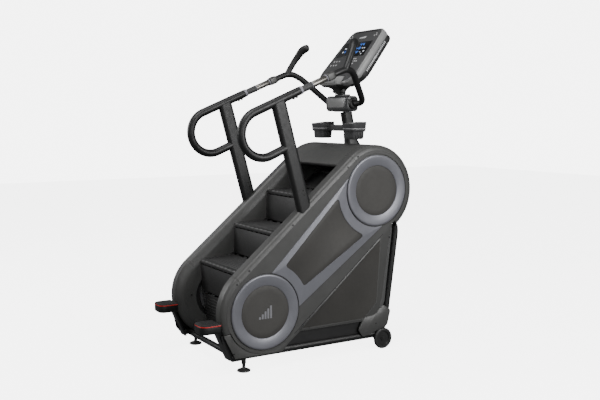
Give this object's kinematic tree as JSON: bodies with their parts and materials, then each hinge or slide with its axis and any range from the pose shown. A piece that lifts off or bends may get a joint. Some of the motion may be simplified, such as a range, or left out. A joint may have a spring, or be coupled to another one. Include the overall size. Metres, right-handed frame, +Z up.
{
  "type": "stair climber",
  "caption": "Stair climber for a gym: a driven staircase between two side housings, with handrails, a console, cup holders and footrests.",
  "frame": {"origin": "centre of the bounding box's footprint, on the floor", "axes": "+X to the user's right, +Y the way the user faces, from the steps to the console, +Z up"},
  "size_m": [0.76, 1.4495, 2.0039],
  "materials": {
    "housing": "moulded, satin",
    "panel": "fine texture",
    "silver": "satin blue-grey",
    "frame_paint": "semi-gloss powder coat",
    "steel": "machined",
    "rubber": "matte",
    "step": "textured",
    "console": "satin",
    "screen": "glossy",
    "holder": "satin",
    "red": "gloss"
  },
  "bodies": {
    "frame": {"alternator": "steel", "base_frame": "frame_paint", "console_face": "screen", "console_shell": "console", "control_pod_left": "housing", "control_pod_right": "housing", "cup_holder": "holder", "drive_belt": "rubber", "footrest_left": "rubber", "footrest_right": "rubber", "front_bar_left": "frame_paint", "front_bar_right": "frame_paint", "front_cover": "housing", "grip_left": "rubber", "grip_right": "rubber", "handrail_left": "frame_paint", "handrail_right": "frame_paint", "hub_housing": "housing", "lower_disc_left": "silver", "lower_disc_right": "silver", "lower_panel_left": "panel", "lower_panel_right": "panel", "mast": "frame_paint", "post_left": "frame_paint", "post_right": "frame_paint", "side_housing_left": "housing", "side_housing_right": "housing", "side_plate_left": "steel", "side_plate_right": "steel", "side_trim_left": "silver", "side_trim_right": "silver", "step_chain_left": "steel", "step_chain_right": "steel", "top_hood": "housing", "upper_disc_left": "silver", "upper_disc_right": "silver"},
    "flight": {"tread_3": "step", "riser_3": "step", "tread_4": "step", "riser_4": "step"},
    "return_flight": {"step_7": "step", "step_8": "step"},
    "lower_shaft": {"lower_shaft": "steel"},
    "upper_shaft": {"upper_shaft": "steel"},
    "flywheel": {"flywheel": "steel"},
    "tread_1": {"tread_1": "step"},
    "riser_2": {"riser_2": "step"},
    "riser_1": {"riser_1": "step"},
    "tread_2": {"tread_2": "step"},
    "riser_5": {"riser_5": "step"},
    "tread_5": {"tread_5": "step"},
    "riser_6": {"riser_6": "step"},
    "tread_6": {"tread_6": "step"},
    "wheel_left": {"wheel_left": "rubber"},
    "levelling_foot_left": {"levelling_foot_left": "rubber"},
    "pod_button_left": {"pod_button_left": "holder"},
    "wheel_right": {"wheel_right": "rubber"},
    "levelling_foot_right": {"levelling_foot_right": "rubber"},
    "pod_button_right": {"pod_button_right": "holder"},
    "stop_button": {"stop_button": "red"}
  },
  "joints": [
    {"name": "stair_travel", "type": "slide", "parent": "frame", "child": "flight", "axis": [0, -0.7622, -0.6474], "range_m": [0, 0.094]},
    {"name": "return_travel", "type": "slide", "parent": "frame", "child": "return_flight", "axis": [0, 0.7622, 0.6474], "range_m": [0, 0.095]},
    {"name": "lower_shaft_turn", "type": "hinge", "parent": "frame", "child": "lower_shaft", "pos_m": [0, -0.31685, 0.32076], "axis": [1, 0, 0], "range_deg": [0, 45.86]},
    {"name": "upper_shaft_turn", "type": "hinge", "parent": "frame", "child": "upper_shaft", "pos_m": [0, 0.35421, 0.89074], "axis": [1, 0, 0], "range_deg": [0, 45.86]},
    {"name": "flywheel_turn", "type": "hinge", "parent": "frame", "child": "flywheel", "pos_m": [0, 0.06424, 0.64444], "axis": [1, 0, 0], "range_deg": [0, 121.29]},
    {"name": "tread_1_swing", "type": "hinge", "parent": "lower_shaft", "child": "tread_1", "pos_m": [0, -0.43143, 0.35291], "axis": [1, 0, 0], "range_deg": [-3.87, 0]},
    {"name": "riser_2_swing", "type": "hinge", "parent": "lower_shaft", "child": "riser_2", "pos_m": [0, -0.43143, 0.35291], "axis": [1, 0, 0], "range_deg": [-23.83, 0]},
    {"name": "riser_1_swing", "type": "hinge", "parent": "return_flight", "child": "riser_1", "pos_m": [0, -0.23196, 0.23673], "axis": [1, 0, 0], "range_deg": [0, 32.28]},
    {"name": "tread_2_swing", "type": "hinge", "parent": "flight", "child": "tread_2", "pos_m": [0, -0.20868, 0.56877], "axis": [1, 0, 0], "range_deg": [0, 12.63]},
    {"name": "riser_5_swing", "type": "hinge", "parent": "flight", "child": "riser_5", "pos_m": [0, 0.26932, 0.97477], "axis": [1, 0, 0], "range_deg": [0, 32.28]},
    {"name": "tread_5_swing", "type": "hinge", "parent": "upper_shaft", "child": "tread_5", "pos_m": [0, 0.46878, 0.85859], "axis": [1, 0, 0], "range_deg": [-3.87, 0]},
    {"name": "riser_6_swing", "type": "hinge", "parent": "upper_shaft", "child": "riser_6", "pos_m": [0, 0.46878, 0.85859], "axis": [1, 0, 0], "range_deg": [-23.83, 0]},
    {"name": "tread_6_swing", "type": "hinge", "parent": "return_flight", "child": "tread_6", "pos_m": [0, 0.24604, 0.64273], "axis": [1, 0, 0], "range_deg": [0, 12.63]},
    {"name": "wheel_left_roll", "type": "hinge", "parent": "frame", "child": "wheel_left", "pos_m": [-0.369, 0.5072, 0.0655], "axis": [1, 0, 0], "continuous": true},
    {"name": "foot_left_turn", "type": "hinge", "parent": "frame", "child": "levelling_foot_left", "pos_m": [-0.334, -0.4518, 0.03], "axis": [0, 0, 1], "continuous": true},
    {"name": "pod_button_left_press", "type": "slide", "parent": "frame", "child": "pod_button_left", "axis": [0, 0.3843, -0.9232], "range_m": [0, 0.0015], "stiffness_N_per_m": 400, "springref_m": -0.0003},
    {"name": "wheel_right_roll", "type": "hinge", "parent": "frame", "child": "wheel_right", "pos_m": [0.369, 0.5072, 0.0655], "axis": [1, 0, 0], "continuous": true},
    {"name": "foot_right_turn", "type": "hinge", "parent": "frame", "child": "levelling_foot_right", "pos_m": [0.334, -0.4518, 0.03], "axis": [0, 0, 1], "continuous": true},
    {"name": "pod_button_right_press", "type": "slide", "parent": "frame", "child": "pod_button_right", "axis": [0, 0.3843, -0.9232], "range_m": [0, 0.0015], "stiffness_N_per_m": 400, "springref_m": -0.0003},
    {"name": "stop_button_press", "type": "slide", "parent": "frame", "child": "stop_button", "axis": [0, 0, -1], "range_m": [0, 0.002], "stiffness_N_per_m": 500, "springref_m": -0.0003}
  ],
  "couplings": [
    {"joint": "return_travel", "follows": "stair_travel", "ratio": 1},
    {"joint": "lower_shaft_turn", "follows": "stair_travel", "rad_per_m": 8.4034},
    {"joint": "upper_shaft_turn", "follows": "stair_travel", "rad_per_m": 8.4034},
    {"joint": "flywheel_turn", "follows": "stair_travel", "rad_per_m": 22.409},
    {"joint": "tread_1_swing", "follows": "stair_travel", "rad_per_m": -0.60708},
    {"joint": "riser_2_swing", "follows": "stair_travel", "rad_per_m": -4.3136},
    {"joint": "riser_1_swing", "follows": "stair_travel", "rad_per_m": 5.8823},
    {"joint": "tread_2_swing", "follows": "stair_travel", "rad_per_m": 2.2341},
    {"joint": "riser_5_swing", "follows": "stair_travel", "rad_per_m": 5.8823},
    {"joint": "tread_5_swing", "follows": "stair_travel", "rad_per_m": -0.60708},
    {"joint": "riser_6_swing", "follows": "stair_travel", "rad_per_m": -4.3136},
    {"joint": "tread_6_swing", "follows": "stair_travel", "rad_per_m": 2.2341}
  ]
}
